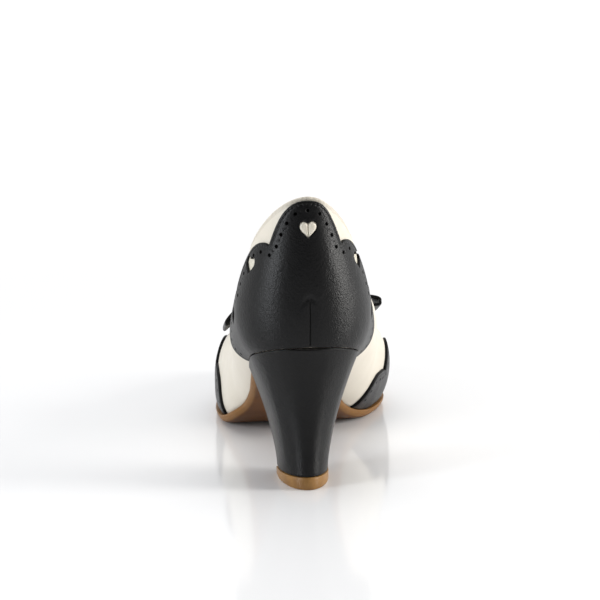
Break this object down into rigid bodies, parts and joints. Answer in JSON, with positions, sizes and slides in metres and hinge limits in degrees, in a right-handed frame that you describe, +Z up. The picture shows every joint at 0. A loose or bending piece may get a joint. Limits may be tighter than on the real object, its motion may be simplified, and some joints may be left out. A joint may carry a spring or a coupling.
{
  "type": "high heel pump",
  "caption": "Two-tone leather pump for the left foot with a flared block heel, scalloped counter and wingtip, heart cut-outs and a flat bow.",
  "frame": {"origin": "on the floor at the middle of the heel's tread", "axes": "+Y from the heel's tread towards the toe, +Z up, +X towards the foot's inner side"},
  "size_m": [0.094, 0.2311, 0.1384],
  "materials": {
    "cream_leather": "smooth, satin",
    "black_leather": "fine grain, semi-gloss",
    "heel_cover": "fine grain, semi-gloss",
    "sole": "satin",
    "lift": "satin",
    "sock": "matte"
  },
  "bodies": {
    "root": {"upper": "cream_leather", "insole": "sock", "outsole": "sole", "heel": "heel_cover", "top_lift": "lift", "counter": "black_leather", "wingtip": "black_leather", "bow_loop_inner": "black_leather", "bow_loop_outer": "black_leather", "bow_knot": "black_leather"}
  },
  "joints": []
}
